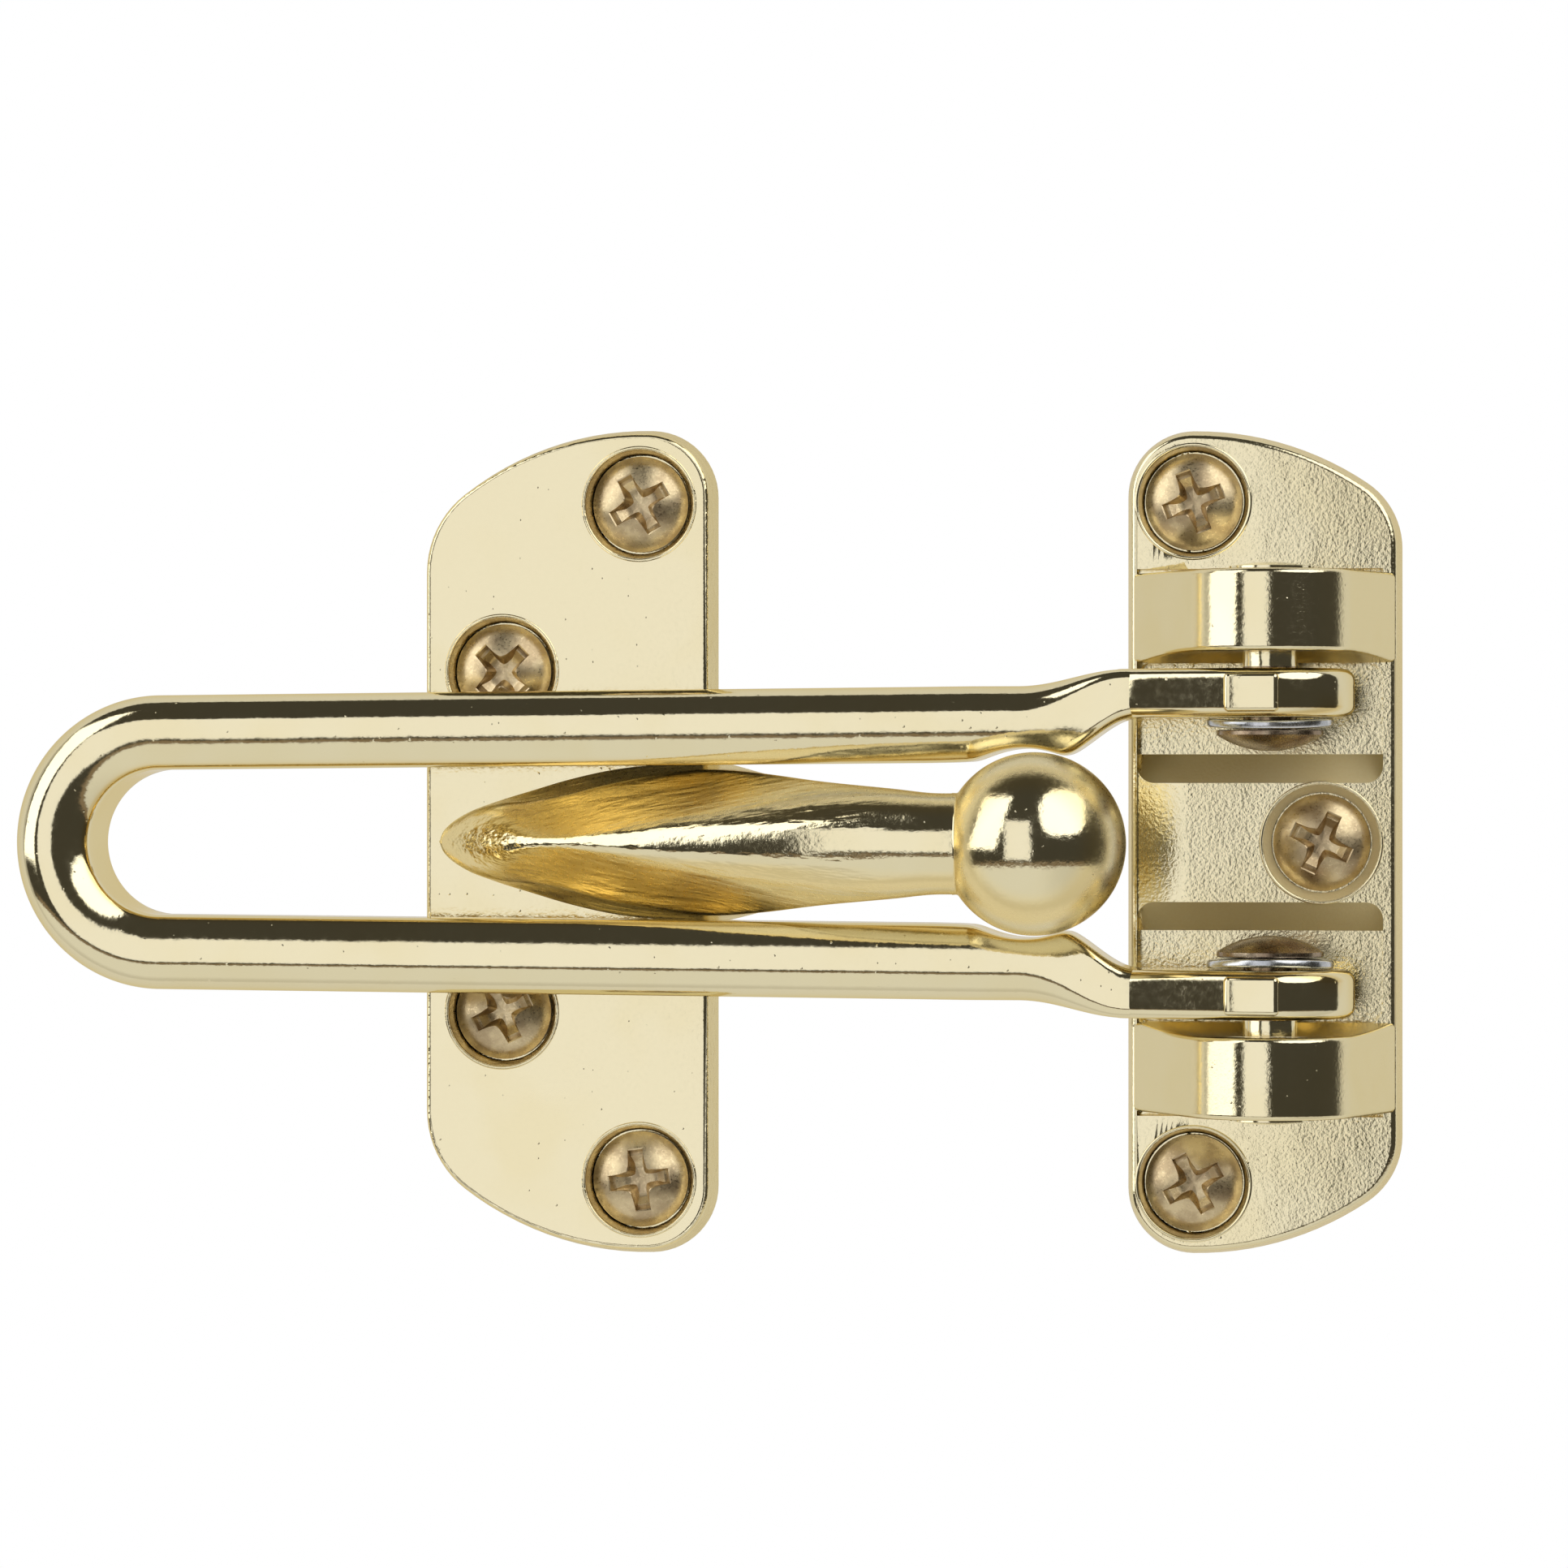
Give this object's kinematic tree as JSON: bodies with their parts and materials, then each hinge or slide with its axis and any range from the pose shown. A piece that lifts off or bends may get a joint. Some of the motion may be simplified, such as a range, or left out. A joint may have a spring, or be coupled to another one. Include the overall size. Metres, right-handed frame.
{
  "type": "swing bar door guard",
  "caption": "Swing bar door guard: a long slotted bar, hinged in a screwed bracket, lies over the fluted horn and ball of a separate screwed keeper plate.",
  "frame": {"origin": "midway between the hinge bracket's two ear screws, on the plane of both plates' backs", "axes": "+X from the bar's loop toward its hinge, +Y along the plates' long sides, +Z away from the door"},
  "size_m": [0.1131, 0.068, 0.0386],
  "materials": {
    "cast_gold": "polished pale gold plating",
    "screw_bronze": "satin antique bronze",
    "rivet_bronze": "polished bronze",
    "spring_steel": "bright spring steel"
  },
  "bodies": {
    "bracket": {"hinge_bracket": "cast_gold", "pivot_rivet_upper": "rivet_bronze", "pivot_rivet_lower": "rivet_bronze", "spring_washer_upper": "spring_steel", "spring_washer_lower": "spring_steel", "bracket_screw_1": "screw_bronze", "bracket_screw_2": "screw_bronze", "bracket_screw_3": "screw_bronze"},
    "bar": {"swing_bar": "cast_gold"},
    "keeper": {"keeper_plate": "cast_gold", "keeper_screw_1": "screw_bronze", "keeper_screw_2": "screw_bronze", "keeper_screw_3": "screw_bronze", "keeper_screw_4": "screw_bronze"}
  },
  "joints": [
    {"name": "bar_swing", "type": "hinge", "parent": "bracket", "child": "bar", "pos_m": [0.0065, 0, 0.0096], "axis": [0, 1, 0], "range_deg": [0, 180]},
    {"name": "door_travel", "type": "slide", "parent": "bracket", "child": "keeper", "axis": [1, 0, 0], "range_m": [-0.028, 0.0184]}
  ]
}
